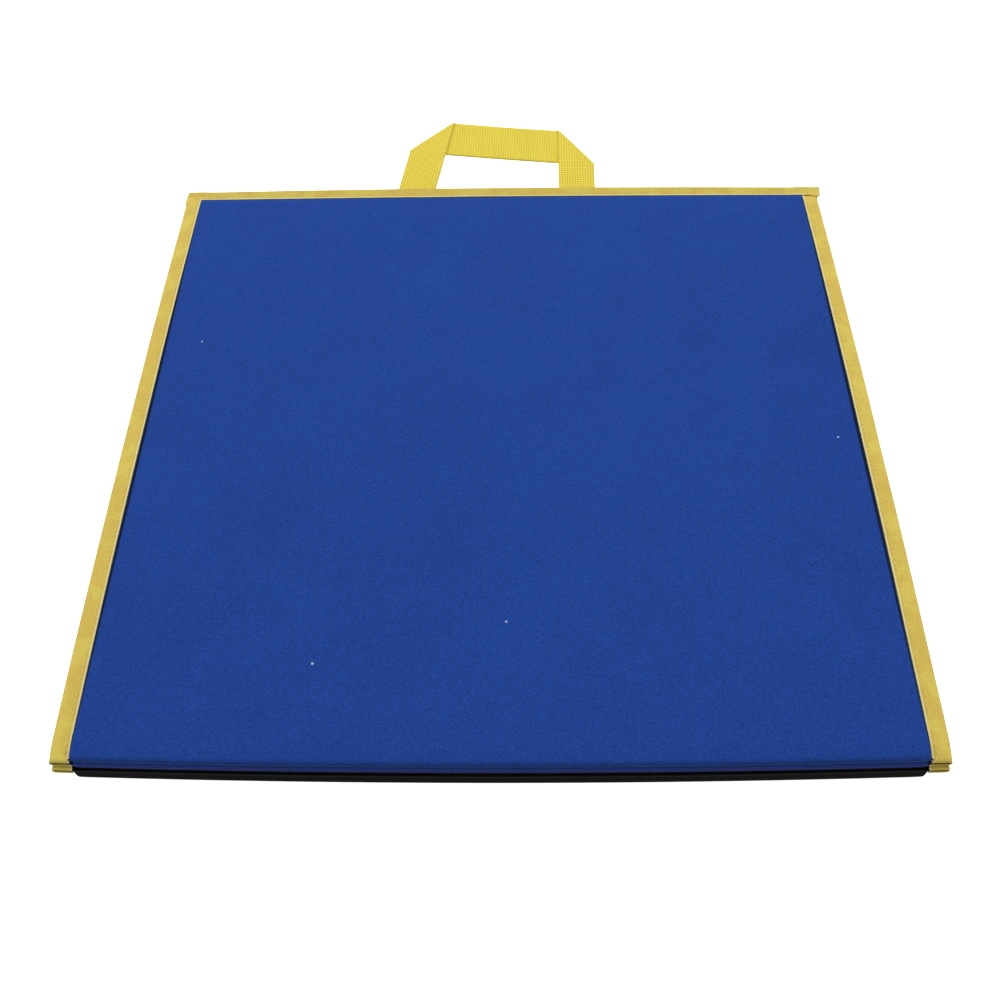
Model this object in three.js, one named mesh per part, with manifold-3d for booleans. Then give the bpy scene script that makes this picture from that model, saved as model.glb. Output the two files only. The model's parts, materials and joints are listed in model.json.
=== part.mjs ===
// Folding kneeling pad: two thin padded panels, one lying on the other, joined along their far edge by one
// binding tape that also carries a webbing carrying handle. Millimetres, +X across, +Y towards the handle,
// +Z up. The origin is the middle of the face that lies on the ground.
import * as THREE from "three";
import { mergeVertices } from "three/addons/utils/BufferGeometryUtils.js";
import Module from "manifold-3d";

// Whole pad
const padWidth = 450;
const padDepth = 450;
const panelThickness = 10;
const panelGap = 0.3; // air between the two panels where one lies on the other
const clearance = 0.3; // between pieces that touch

// Cloth and foam of a panel
const coverThickness = 1.5;
const liningThickness = 1.2;
const edgeRoll = 9; // width over which the cover rolls down to a bound edge
const frontRound = 4; // radius of the cover where it turns over the front edge
const liningRise = 4; // width over which the lining rises into the side tape
const foamMargin = 2.5; // foam stops this far short of the foot of a rolled edge

// Binding tape, folded in half over each edge
const tapeThickness = 0.7;
const tapeLeg = 10;
const foldRadius = 1.2;
const hingeTapeOverhang = 1.5; // past the side tapes, at each end
const flangeThickness = 1.2; // cover and lining pressed together inside the hinge tape

// Sewing thread
const threadWidth = 0.8;
const threadHeight = 0.4;
const threadLift = 0.2;
const stitchInset = 2.5; // from the tape's inner edge
const frontStitchHeight = 2.2; // above the panel's inner face

// Carrying handle: one length of flat webbing with its two ends sewn under the hinge tape
const webbingWidth = 25;
const webbingThickness = 1.5;
const leftRoot = -64; // middle of each leg where it leaves the hinge tape
const rightRoot = 54;
const leftLean = 14; // degrees that each leg leans towards the other
const rightLean = 1.5;
const gripReach = 29.5; // from the hinge tape to the near edge of the grip
const gripSlope = -4.8; // degrees
const handleTilt = 23; // degrees above the ground
const layerOverlap = 0.1; // the folded corner's two layers run into each other by this much
const tabMargin = 1; // from the inner edge of the hinge tape to the sewn end
const boxStitchMargin = 2.5;

// What follows from them
const halfWidth = padWidth / 2;
const halfDepth = padDepth / 2;
const flangeFoot = tapeThickness + clearance;
const flangeTop = flangeFoot + liningThickness + clearance + coverThickness;
const sideTapeHeight = flangeTop + clearance + tapeThickness;
const rollFoot = halfWidth - tapeLeg - clearance;
const wallInside = coverThickness + clearance;
const hingeLine = halfDepth - tapeLeg;
const hingeLevel = panelThickness + panelGap / 2;
const hingeTapeHalf = panelGap / 2 + flangeThickness + clearance + tapeThickness;
const tabFoot = hingeTapeHalf + clearance + webbingThickness;
const hingeRoom = tabFoot + threadLift + threadHeight + clearance;
const panelEnd = hingeLine - hingeRoom;
const pivotGap = clearance + webbingThickness / 2 + threadLift;

const blueFelt = { color: 0x24479a, roughness: 0.95, metalness: 0 };
const blackCloth = { color: 0x1b1c1e, roughness: 0.95, metalness: 0 };
const greyFoam = { color: 0x8f9194, roughness: 0.9, metalness: 0 };
const greyCloth = { color: 0x3a3c40, roughness: 0.95, metalness: 0 };
const yellowTape = { color: 0xd6c05e, roughness: 0.85, metalness: 0 };
const yellowWebbing = { color: 0xe8d13e, roughness: 0.7, metalness: 0 };
const paleThread = { color: 0xe9dfa8, roughness: 0.8, metalness: 0 };
const blueThread = { color: 0x4360a8, roughness: 0.8, metalness: 0 };
const blackThread = { color: 0x2a2b2e, roughness: 0.8, metalness: 0 };

const radians = THREE.MathUtils.degToRad;
const clamp = THREE.MathUtils.clamp;

function closed(geometry) {
  geometry.deleteAttribute("normal");
  geometry.deleteAttribute("uv");
  const merged = mergeVertices(geometry, 1e-4);
  merged.computeVertexNormals();
  return merged;
}

function piece(name, geometry, finish) {
  const mesh = new THREE.Mesh(closed(geometry), new THREE.MeshStandardMaterial(finish));
  mesh.name = name;
  return mesh;
}

// A sheet or slab whose two faces are heights over (x, y), on a grid of given lines.
function slab(xLines, yLines, lowerFace, upperFace) {
  const columns = xLines.length - 1;
  const rows = yLines.length - 1;
  const geometry = new THREE.BoxGeometry(1, 1, 1, columns, rows, 1);
  const position = geometry.getAttribute("position");
  for (let i = 0; i < position.count; i++) {
    const x = xLines[Math.round((position.getX(i) + 0.5) * columns)];
    const y = yLines[Math.round((position.getY(i) + 0.5) * rows)];
    const face = position.getZ(i) > 0 ? upperFace : lowerFace;
    position.setXYZ(i, x, y, face(x, y));
  }
  return geometry;
}

// Evenly spaced lines, both ends included.
function lines(from, to, steps) {
  return Array.from({ length: steps + 1 }, (_, i) => from + ((to - from) * i) / steps);
}

// Mirrors a rising list of positive lines to both sides of zero.
function bothSides(positive) {
  return [...positive.map((x) => -x).reverse(), ...positive];
}

// Binding tape folded over an edge: a channel that opens towards -s, extruded along its edge.
// turn is 0 for the right edge, 180 for the left edge and 90 for the far edge.
function foldedTape(height, length, turn) {
  const outline = new THREE.Shape();
  const inside = foldRadius - tapeThickness;
  const bend = tapeLeg - foldRadius;
  const quarter = Math.PI / 2;
  outline.moveTo(0, 0);
  outline.lineTo(bend, 0);
  outline.absarc(bend, foldRadius, foldRadius, -quarter, 0, false);
  outline.absarc(bend, height - foldRadius, foldRadius, 0, quarter, false);
  outline.lineTo(0, height);
  outline.lineTo(0, height - tapeThickness);
  outline.lineTo(bend, height - tapeThickness);
  outline.absarc(bend, height - foldRadius, inside, quarter, 0, true);
  outline.absarc(bend, foldRadius, inside, 0, -quarter, true);
  outline.lineTo(0, tapeThickness);
  outline.closePath();
  const geometry = new THREE.ExtrudeGeometry(outline, {
    depth: length,
    bevelEnabled: false,
    curveSegments: 4,
  });
  geometry.translate(0, 0, -length / 2);
  geometry.rotateX(Math.PI / 2);
  geometry.rotateZ(radians(turn));
  return geometry;
}

// Height of a panel's cover, as a share of its full rise above the flange: it rolls down to the bound
// sides and to the hinge, and turns over the front edge.
function coverRise(x, y) {
  const quarter = Math.PI / 2;
  const side = clamp((Math.abs(x) - (rollFoot - edgeRoll)) / edgeRoll, 0, 1);
  const far = clamp((y - (panelEnd - edgeRoll)) / edgeRoll, 0, 1);
  const near = clamp(1 - (y + halfDepth) / frontRound, 0, 1);
  const turned = (frontRound * (1 - Math.sqrt(1 - near * near))) / (panelThickness - flangeTop);
  return Math.cos(side * quarter) * Math.cos(far * quarter) * (1 - turned);
}

// How far the lining has risen into the side tape, from 0 to 1.
function liningLift(x) {
  return clamp((Math.abs(x) - (rollFoot - liningRise)) / liningRise, 0, 1);
}

const coverTop = (x, y) => flangeTop + (panelThickness - flangeTop) * coverRise(x, y);
const liningFoot = (x) => flangeFoot * liningLift(x);
const liningTop = (x) => liningFoot(x) + liningThickness;

// Inside of the cover: it reaches down to the panel's inner face as the wall of the front edge.
function coverInside(x, y) {
  const inWall = y < -halfDepth + coverThickness + clearance / 2;
  return inWall ? (flangeTop - coverThickness) * liningLift(x) : coverTop(x, y) - coverThickness;
}

// One panel in its own frame: inner face at z = 0, outer face at z = panelThickness.
function buildPanel(prefix, clothFinish, liningFinish, frontThreadFinish) {
  const panel = new THREE.Group();
  const outer = halfWidth - tapeThickness - clearance;
  const rollStart = rollFoot - edgeRoll;
  const front = -halfDepth;
  const foamSide = rollFoot - foamMargin;
  const foamEnd = panelEnd - foamMargin;

  const crossLines = bothSides([...lines(rollStart, rollFoot, 6), outer]);
  const wallLines = [front, front + coverThickness, front + wallInside, front + 2.5 * coverThickness];
  const alongLines = [...wallLines, front + frontRound, ...lines(panelEnd - edgeRoll, panelEnd, 6)];
  panel.add(piece(prefix + "_cover", slab(crossLines, alongLines, coverInside, coverTop), clothFinish));

  const innerFront = front + wallInside + clearance;
  const liningLines = bothSides([rollFoot - liningRise, rollFoot, outer]);
  panel.add(
    piece(prefix + "_lining", slab(liningLines, [innerFront, panelEnd], liningFoot, liningTop), liningFinish),
  );

  const foamCross = bothSides(lines(rollStart, foamSide, 5));
  const foamAlong = [innerFront, front + frontRound, ...lines(panelEnd - edgeRoll, foamEnd, 5)];
  const foamTop = (x, y) => coverTop(x, y) - coverThickness - clearance;
  const foamFoot = (x) => liningTop(x) + clearance;
  panel.add(piece(prefix + "_foam", slab(foamCross, foamAlong, foamFoot, foamTop), greyFoam));

  const tapeLength = panelEnd + halfDepth;
  const middle = (panelEnd - halfDepth) / 2;
  for (const [side, sign] of [["left", -1], ["right", 1]]) {
    const name = prefix + "_" + side + "_tape";
    const tape = piece(name, foldedTape(sideTapeHeight, tapeLength, sign > 0 ? 0 : 180), yellowTape);
    tape.position.set(sign * (halfWidth - tapeLeg), middle, 0);
    panel.add(tape);

    const threadLength = tapeLength - 2 * clearance;
    const row = new THREE.BoxGeometry(threadWidth, threadLength, threadHeight);
    const thread = piece(name + "_stitching", row, paleThread);
    const threadHeightAbove = sideTapeHeight + threadLift + threadHeight / 2;
    thread.position.set(sign * (halfWidth - tapeLeg + stitchInset), middle, threadHeightAbove);
    panel.add(thread);
  }

  const frontRow = new THREE.BoxGeometry(2 * rollStart, threadHeight, threadWidth);
  const frontThread = piece(prefix + "_front_stitching", frontRow, frontThreadFinish);
  frontThread.position.set(0, front - threadLift - threadHeight / 2, frontStitchHeight);
  panel.add(frontThread);
  return panel;
}

// Where the line through a at one angle meets the line through b at another, in degrees.
function meet(a, angleA, b, angleB) {
  const toA = new THREE.Vector2(Math.cos(radians(angleA)), Math.sin(radians(angleA)));
  const toB = new THREE.Vector2(Math.cos(radians(angleB)), Math.sin(radians(angleB)));
  const between = b.clone().sub(a);
  return a.clone().addScaledVector(toA, between.cross(toB) / toA.cross(toB));
}

// A flat plate of the given outline between two heights.
function plate(points, lower, upper) {
  const settings = { depth: upper - lower, bevelEnabled: false };
  const geometry = new THREE.ExtrudeGeometry(new THREE.Shape(points), settings);
  geometry.translate(0, 0, lower);
  return geometry;
}

// The handle lies in its own plane: the two legs on top, the grip folded back under them at each corner.
function handleOutline() {
  const legEdges = (root, lean) => {
    const half = webbingWidth / 2 / Math.cos(radians(lean));
    return [new THREE.Vector2(root - half, -clearance), new THREE.Vector2(root + half, -clearance)];
  };
  const leftAngle = 90 - leftLean;
  const rightAngle = 90 + rightLean;
  const [leftOuter, leftInner] = legEdges(leftRoot, leftLean);
  const [rightInner, rightOuter] = legEdges(rightRoot, rightLean);
  const nearEdge = new THREE.Vector2(0, gripReach);
  const farEdge = new THREE.Vector2(0, gripReach + webbingWidth / Math.cos(radians(gripSlope)));
  const leftLow = meet(leftOuter, leftAngle, nearEdge, gripSlope);
  const leftHigh = meet(leftInner, leftAngle, farEdge, gripSlope);
  const rightLow = meet(rightOuter, rightAngle, nearEdge, gripSlope);
  const rightHigh = meet(rightInner, rightAngle, farEdge, gripSlope);
  return {
    legs: [
      [leftOuter, leftInner, leftHigh, leftLow],
      [rightInner, rightOuter, rightLow, rightHigh],
    ],
    grip: [leftLow, rightLow, rightHigh, leftHigh],
  };
}

// The joined edge, with its origin on the hinge line midway between the panels.
function buildHinge() {
  const hinge = new THREE.Group();
  const inside = tapeLeg - tapeThickness - clearance;
  const tapeWidth = padWidth + 2 * hingeTapeOverhang;

  const tape = piece("hinge_tape", foldedTape(2 * hingeTapeHalf, tapeWidth, 90), yellowTape);
  tape.position.z = -hingeTapeHalf;
  hinge.add(tape);

  const row = new THREE.BoxGeometry(tapeWidth - 2 * clearance, threadWidth, threadHeight);
  const thread = piece("hinge_tape_stitching", row, paleThread);
  thread.position.set(0, stitchInset, hingeTapeHalf + threadLift + threadHeight / 2);
  hinge.add(thread);

  const flangeStart = -(hingeRoom - 2 * clearance);
  const flangeLength = inside - flangeStart;
  for (const [name, sign, finish] of [["upper", 1, blueFelt], ["lower", -1, blackCloth]]) {
    const strip = new THREE.BoxGeometry(padWidth - 2 * clearance, flangeLength, flangeThickness);
    const flange = piece(name + "_hinge_flange", strip, finish);
    const level = sign * (panelGap / 2 + flangeThickness / 2);
    flange.position.set(0, flangeStart + flangeLength / 2, level);
    hinge.add(flange);
  }

  const tabLength = tapeLeg - tabMargin;
  const tabLevel = -(tabFoot - webbingThickness / 2);
  for (const [side, root] of [["left", leftRoot], ["right", rightRoot]]) {
    const end = new THREE.BoxGeometry(webbingWidth, tabLength, webbingThickness);
    const tab = piece("handle_" + side + "_tab", end, yellowWebbing);
    tab.position.set(root, tabMargin + tabLength / 2, tabLevel);
    hinge.add(tab);

    const box = boxStitch(webbingWidth - 2 * boxStitchMargin, tabLength - 2 * boxStitchMargin);
    const stitching = piece("handle_" + side + "_tab_stitching", box, paleThread);
    const lowest = -(tabFoot + threadLift + threadHeight);
    stitching.position.set(root, tabMargin + tabLength / 2, lowest);
    hinge.add(stitching);
  }
  return hinge;
}

// A rectangle of stitching round a sewn strap end.
function boxStitch(width, depth) {
  const rectangle = (path, w, d) => {
    path.moveTo(-w / 2, -d / 2);
    path.lineTo(w / 2, -d / 2);
    path.lineTo(w / 2, d / 2);
    path.lineTo(-w / 2, d / 2);
    path.closePath();
    return path;
  };
  const outline = rectangle(new THREE.Shape(), width, depth);
  outline.holes.push(rectangle(new THREE.Path(), width - 2 * threadWidth, depth - 2 * threadWidth));
  return new THREE.ExtrudeGeometry(outline, { depth: threadHeight, bevelEnabled: false });
}

// One closed solid from several that touch or overlap.
function joined(geometries) {
  const solids = geometries.map((geometry) => {
    const merged = closed(geometry);
    const vertProperties = merged.getAttribute("position").array;
    const triVerts = new Uint32Array(merged.index.array);
    return new wasm.Manifold(new wasm.Mesh({ numProp: 3, vertProperties, triVerts }));
  });
  const whole = solids.reduce((sum, solid) => sum.add(solid)).getMesh();
  const geometry = new THREE.BufferGeometry();
  geometry.setAttribute("position", new THREE.BufferAttribute(whole.vertProperties, 3));
  geometry.setIndex(new THREE.BufferAttribute(whole.triVerts, 1));
  return geometry;
}

// The moving part of the handle, with its origin on the line that it swings about.
function buildHandle() {
  const top = webbingThickness / 2;
  const { legs, grip } = handleOutline();
  const plates = legs.map((outline) => plate(outline, -top, top));
  plates.push(plate(grip, -top - webbingThickness, -top + layerOverlap));
  return piece("handle_strap", joined(plates), yellowWebbing);
}

const wasm = await Module();
wasm.setup();

const kneelingPad = new THREE.Group();

const lowerPanel = buildPanel("lower", blackCloth, greyCloth, blackThread);
lowerPanel.position.z = panelThickness;
lowerPanel.scale.z = -1;
kneelingPad.add(lowerPanel);

const upperPanel = buildPanel("upper", blueFelt, greyCloth, blueThread);
upperPanel.position.z = panelThickness + panelGap;
kneelingPad.add(upperPanel);

const hinge = buildHinge();
hinge.position.set(0, hingeLine, hingeLevel);
kneelingPad.add(hinge);

const handle = buildHandle();
handle.position.set(0, tapeLeg + pivotGap, -(tabFoot - webbingThickness / 2));
handle.rotation.x = radians(handleTilt);
hinge.add(handle);

export default kneelingPad;
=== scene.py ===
import json
import math

import bpy
import numpy as np
from mathutils import Matrix, Vector, noise

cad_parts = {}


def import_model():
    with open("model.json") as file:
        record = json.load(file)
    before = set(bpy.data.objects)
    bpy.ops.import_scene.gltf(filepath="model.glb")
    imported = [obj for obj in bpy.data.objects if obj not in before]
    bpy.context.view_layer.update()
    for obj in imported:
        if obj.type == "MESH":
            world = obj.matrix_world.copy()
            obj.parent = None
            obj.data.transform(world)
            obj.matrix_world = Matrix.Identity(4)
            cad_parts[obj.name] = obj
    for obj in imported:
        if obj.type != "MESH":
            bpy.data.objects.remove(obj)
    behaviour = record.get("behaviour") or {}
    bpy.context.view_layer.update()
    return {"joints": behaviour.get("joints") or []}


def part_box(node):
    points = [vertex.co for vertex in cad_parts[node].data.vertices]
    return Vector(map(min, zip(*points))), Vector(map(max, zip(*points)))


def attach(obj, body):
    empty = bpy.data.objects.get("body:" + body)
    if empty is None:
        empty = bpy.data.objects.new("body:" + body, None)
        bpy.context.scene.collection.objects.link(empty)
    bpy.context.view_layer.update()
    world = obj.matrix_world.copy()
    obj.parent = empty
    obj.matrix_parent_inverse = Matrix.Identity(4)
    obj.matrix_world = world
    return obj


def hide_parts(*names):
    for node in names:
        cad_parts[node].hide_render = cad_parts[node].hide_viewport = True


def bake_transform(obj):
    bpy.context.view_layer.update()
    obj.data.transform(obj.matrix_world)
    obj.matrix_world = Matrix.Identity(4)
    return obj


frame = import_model()
mm = 0.001

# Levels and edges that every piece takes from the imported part.
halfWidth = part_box("upper_right_tape")[1].x
halfDepth = -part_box("upper_cover")[0].y
tapeWider = 0.6 * mm  # the real tape is folded a little wider
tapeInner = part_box("upper_right_tape")[0].x - tapeWider
joints = {joint["name"]: Vector(joint["pos_m"]) for joint in frame["joints"]}
foldLine = joints["panel_fold"]
swingLine = joints["handle_swing"]

foldY, foldZ = foldLine.y, foldLine.z

upper = {
    "name": "upper",
    "body": "upper_panel",
    "turn": 1,
    "inner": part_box("upper_lining")[0].z,
    "thick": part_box("upper_cover")[1].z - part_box("upper_lining")[0].z,
    "frontBow": 3.4 * mm,     # the padding pushes the front edge out in the middle
    "frontOut": 0.0,
    "frontIn": 0.7 * mm,      # the bound edges are pinched in at their front ends
    "farBow": 1.0 * mm,       # the far roll is pushed out too
    "groove": 1.0,            # how deep the front hem pulls in
    "frontRound": 1.0,        # and how round the edge beyond it is
    "sideRoll": 2.0 * mm,
    "flatEnd": foldY - 13.8 * mm,   # where the far roll starts
    "rollEnd": foldY - 5.2 * mm,    # and where it meets the margin
    "marginEnd": foldY + 0.8 * mm,  # the margin ends just inside the hinge tape
    "tapeSetBack": 0.7 * mm,
    "cornerIn": 0.3 * mm,
}
lower = {
    "name": "lower",
    "body": "lower_panel",
    "turn": -1,
    "inner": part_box("lower_lining")[1].z,
    "thick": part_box("lower_lining")[1].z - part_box("lower_cover")[0].z,
    "frontBow": 3.7 * mm,
    "frontOut": 1.3 * mm,     # it lies a little further forward
    "frontIn": 1.4 * mm,
    "farBow": 0,
    "groove": 0.3,
    "frontRound": 0.5,
    "sideRoll": 0.9 * mm,
    "flatEnd": foldY - 14.0 * mm,
    "rollEnd": foldY - 5.1 * mm,
    "marginEnd": foldY + 6.4 * mm,
    "tapeSetBack": 0.0,
    "cornerIn": 0.3 * mm,
}
shape = {
    "sideBow": 2.1 * mm,
    "flare": 0.5 * mm,         # the front is a little wider than the hinge
    "flange": 4.0 * mm,        # top of the cover's pressed margin, above the inner face
    "endFlange": 1.3 * mm,     # the same where it runs into the hinge tape
    "frontSkew": 0.6 * mm,     # it was sewn a little askew
    "frontSqueeze": 1.5 * mm,  # the margin is pressed thinner at the front cut
    "squeezeReach": 8 * mm,
    "pinchReach": 12 * mm,
    "rollFoot": tapeInner - 0.4 * mm,
    "marginSide": halfWidth - 1.2 * mm,
    "felt": 1.5 * mm,
    "lining": 1.2 * mm,
    "tape": 0.7 * mm,
    "clear": 0.3 * mm,
}


def ease(start, end, value):
    share = np.clip((np.asarray(value, float) - start) / (end - start), 0, 1)
    return share * share * (3 - 2 * share)


def mix(a, b, share):
    return a + (b - a) * share


def waves(x, y, scale, seed):
    spots = np.stack(np.broadcast_arrays(x, y), -1).reshape(-1, 2)
    made = [noise.noise(Vector((px * scale, py * scale, seed))) for px, py in spots]
    return np.array(made).reshape(np.broadcast(x, y).shape)


def bowed(panel, x, y):
    # The filled pad stands out a little in the middle of each edge.
    across = np.clip(1 - (x / halfWidth) ** 2, 0, 1)
    along = np.clip(1 - (y / foldY) ** 2, 0, 1)
    near = np.clip(-y / halfDepth, 0, 1)
    atEnd = ease(panel["rollEnd"] - 2 * mm, panel["rollEnd"] + 1 * mm, y)
    far = np.clip(y / panel["flatEnd"], 0, 1) * (1 - 0.8 * atEnd)
    pinch = panel["frontIn"] * (1 - ease(-halfDepth, -halfDepth + shape["pinchReach"], y))
    newX = x * (1 + (shape["sideBow"] * along + shape["flare"] * near - pinch) / halfWidth)
    outwards = panel["frontOut"] + panel["frontBow"] * across + shape["frontSkew"] * x / halfWidth
    newY = y - outwards * near + panel["farBow"] * across * far
    return newX, newY


def world(panel, x, y, height):
    newX, newY = bowed(panel, x, y)
    level = panel["inner"] + panel["turn"] * height
    return np.stack(np.broadcast_arrays(newX, newY, level), -1)


def flangeLevel(y):
    # The margin is pressed thinner at the front cut and where it goes under the hinge tape.
    squeezed = mix(shape["flange"], shape["endFlange"], ease(foldY - 8 * mm, foldY - 0.5 * mm, y))
    return squeezed - shape["frontSqueeze"] * (1 - ease(-halfDepth, -halfDepth + shape["squeezeReach"], y))


def sheetFrom(name, points, uv=None, flip=False):
    # A grid of points, rows by columns, as one quad sheet.
    rows, columns = points.shape[:2]
    index = np.arange(rows * columns).reshape(rows, columns)
    quads = np.stack([index[:-1, :-1], index[:-1, 1:], index[1:, 1:], index[1:, :-1]], -1).reshape(-1, 4)
    if flip:
        quads = quads[:, ::-1]
    mesh = bpy.data.meshes.new(name)
    mesh.from_pydata(points.reshape(-1, 3).tolist(), [], quads.tolist())
    if uv is not None:
        layer = mesh.uv_layers.new(name="strip")
        corners = np.zeros(len(mesh.loops), np.int32)
        mesh.loops.foreach_get("vertex_index", corners)
        layer.data.foreach_set("uv", uv.reshape(-1, 2)[corners].astype(np.float32).ravel())
    made = bpy.data.objects.new(name, mesh)
    bpy.context.scene.collection.objects.link(made)
    return made


def thicken(piece, thickness, offset=-1.0, share=None, backFinish=0, rounds=1):
    # Share, one number for each point, thins the sheet where it is pressed.
    if rounds:
        soften = piece.modifiers.new("soften", "SUBSURF")
        soften.levels = soften.render_levels = rounds
        soften.boundary_smooth = "PRESERVE_CORNERS"
    wall = piece.modifiers.new("wall", "SOLIDIFY")
    wall.thickness = thickness
    wall.offset = offset
    wall.use_even_offset = False
    wall.material_offset = backFinish
    if share is not None:
        group = piece.vertex_groups.new(name="pressed")
        for number, weight in enumerate(share.ravel()):
            group.add([number], float(weight), "REPLACE")
        wall.vertex_group = "pressed"
    return settle(piece)


def settle(piece):
    # Applies what is live on a piece, so that it ends as a plain mesh.
    graph = bpy.context.evaluated_depsgraph_get()
    mesh = bpy.data.meshes.new_from_object(piece.evaluated_get(graph))
    piece.modifiers.clear()
    piece.vertex_groups.clear()
    piece.data = mesh
    mesh.name = piece.name
    mesh.shade_smooth()
    return piece


# A socket that takes part in sums; plain numbers may stand on either side.
class Signal:
    def __init__(self, finish, socket):
        self.finish = finish
        self.socket = socket

    def __add__(self, other):
        return self.finish.sum("ADD", self, other)

    def __sub__(self, other):
        return self.finish.sum("SUBTRACT", self, other)

    def __rsub__(self, other):
        return self.finish.sum("SUBTRACT", other, self)

    def __mul__(self, other):
        return self.finish.sum("MULTIPLY", self, other)

    def __truediv__(self, other):
        return self.finish.sum("DIVIDE", self, other)

    __radd__ = __add__
    __rmul__ = __mul__

    def sine(self):
        return self.finish.sum("SINE", self)

    def size(self):
        return self.finish.sum("ABSOLUTE", self)

    def step(self, start, end):
        ranged = {"interpolation_type": "SMOOTHSTEP"}
        sockets = {"Value": self, "From Min": start, "From Max": end}
        return self.finish.node("ShaderNodeMapRange", ranged, sockets)


class Finish:
    def __init__(self, name):
        self.material = bpy.data.materials.new(name)
        self.material.use_nodes = True
        self.tree = self.material.node_tree
        self.shader = next(n for n in self.tree.nodes if n.type == "BSDF_PRINCIPLED")

    def node(self, kind, settings=None, sockets=None, out=0):
        made = self.tree.nodes.new(kind)
        for key, value in (settings or {}).items():
            setattr(made, key, value)
        for key, value in (sockets or {}).items():
            if isinstance(value, Signal):
                self.tree.links.new(value.socket, made.inputs[key])
            elif made.inputs[key].type == "VECTOR":
                made.inputs[key].default_value = value[:3]
            else:
                made.inputs[key].default_value = value
        return Signal(self, made.outputs[out])

    def sum(self, operation, *terms):
        return self.node("ShaderNodeMath", {"operation": operation}, dict(enumerate(terms)))

    def place(self):
        return self.node("ShaderNodeTexCoord", out="Object")

    def strip(self, out):
        found = self.node("ShaderNodeUVMap", {"uv_map": "strip"})
        return self.node("ShaderNodeSeparateXYZ", None, {0: found}, out)

    def stretched(self, vector, scale):
        return self.node("ShaderNodeVectorMath", {"operation": "MULTIPLY"}, {0: vector, 1: scale})

    def grain(self, vector, scale, detail=3.0, roughness=0.6):
        sockets = {"Vector": vector, "Scale": scale, "Detail": detail, "Roughness": roughness}
        return self.node("ShaderNodeTexNoise", {"noise_dimensions": "3D"}, sockets)

    def blendOf(self, share, first, second):
        sockets = {0: share, 6: first, 7: second}
        return self.node("ShaderNodeMix", {"data_type": "RGBA"}, sockets, 2)

    def shaded(self, colour, tone):
        return self.node("ShaderNodeVectorMath", {"operation": "SCALE"}, {0: colour, "Scale": tone})

    def spot(self, vector, centre, radius):
        # 1 within radius of a point and 0 outside it.
        away = self.node("ShaderNodeVectorMath", {"operation": "DISTANCE"}, {0: vector, 1: centre}, "Value")
        return 1 - away.step(radius * 0.5, radius)

    def finished(self, colour, roughness, relief=None, depth=0.0, **fixed):
        for key, value in (("Base Color", colour), ("Roughness", roughness)):
            if isinstance(value, Signal):
                self.tree.links.new(value.socket, self.shader.inputs[key])
            else:
                self.shader.inputs[key].default_value = value
        for key, value in fixed.items():
            words = "".join(" " + c if c.isupper() else c for c in key).strip()
            self.shader.inputs[words.title().replace("Ior", "IOR")].default_value = value
        if relief is not None:
            bump = self.node("ShaderNodeBump", None, {"Strength": 1.0, "Distance": depth, "Height": relief})
            self.tree.links.new(bump.socket, self.shader.inputs["Normal"])
        return self.material


def paint(piece, *materials):
    piece.data.materials.clear()
    for material in materials:
        piece.data.materials.append(material)
    return piece


def feltFinish(name, look):
    felt = Finish(name)
    place = felt.place()
    fibre = felt.grain(felt.stretched(place, (0.8, 1.5, 1.0)), look["fibreScale"], 4.0, 0.7)
    fuzz = felt.grain(place, look["fuzzScale"], 2.0, 0.6)
    fluff = felt.grain(felt.stretched(place, (1.3, 0.8, 1.0)), look["fluffScale"], 3.0, 0.6)
    cloud = felt.grain(place, look["cloudScale"], 3.0, 0.55)
    tone = 1 + (fibre - 0.5) * look["fibreTone"] + (fuzz - 0.5) * look["fuzzTone"]
    tone = tone + (cloud - 0.5) * look["cloudTone"]
    colour = felt.shaded(look["colour"], tone)
    colour = felt.blendOf(fluff.step(*look["fluffEdge"]) * look["fluffShare"], colour, look["fluff"])
    if "paintedShadeTone" in look:
        height = felt.node("ShaderNodeSeparateXYZ", None, {0: place}, "Z")
        along = felt.node("ShaderNodeSeparateXYZ", None, {0: place}, "Y")
        aside = felt.node("ShaderNodeSeparateXYZ", None, {0: place}, "X").size()
        # Painted shade: the felt between these two heights, the front wall, is made darker.
        paintedFrontShade = height.step(*look["paintedShadeFoot"]) * (1 - height.step(*look["paintedShadeTop"]))
        colour = felt.shaded(colour, 1 - paintedFrontShade * (1 - look["paintedShadeTone"]))
        # Painted highlight: below that band the hem is blended toward a lighter blue.
        colour = felt.blendOf((1 - height.step(*look["paintedShadeFoot"])) * look["paintedLipShare"], colour, look["lip"])
        # Painted shade: the crease against the tapes lies in shade, painted near-black.
        clear = (1 - aside.step(*look["creaseShadeSide"])) * (1 - along.step(*look["creaseShadeFar"]))
        colour = felt.blendOf(1 - clear, colour, look["creaseShadeColour"])
    flat = felt.stretched(place, (1, 1, 0))
    for centre, radius, tint in look.get("lint", ()):
        colour = felt.blendOf(felt.spot(flat, centre, radius) * look["lintShare"], colour, tint)
    rough = 0.9 + (fibre - 0.5) * 0.2
    relief = fibre * 0.7 + fuzz * 0.3
    return felt.finished(
        colour, rough, relief, look["depth"], sheenWeight=look["sheen"], sheenRoughness=0.5,
        sheenTint=look["sheenTint"], specularIorLevel=look["specular"],
    )


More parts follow.
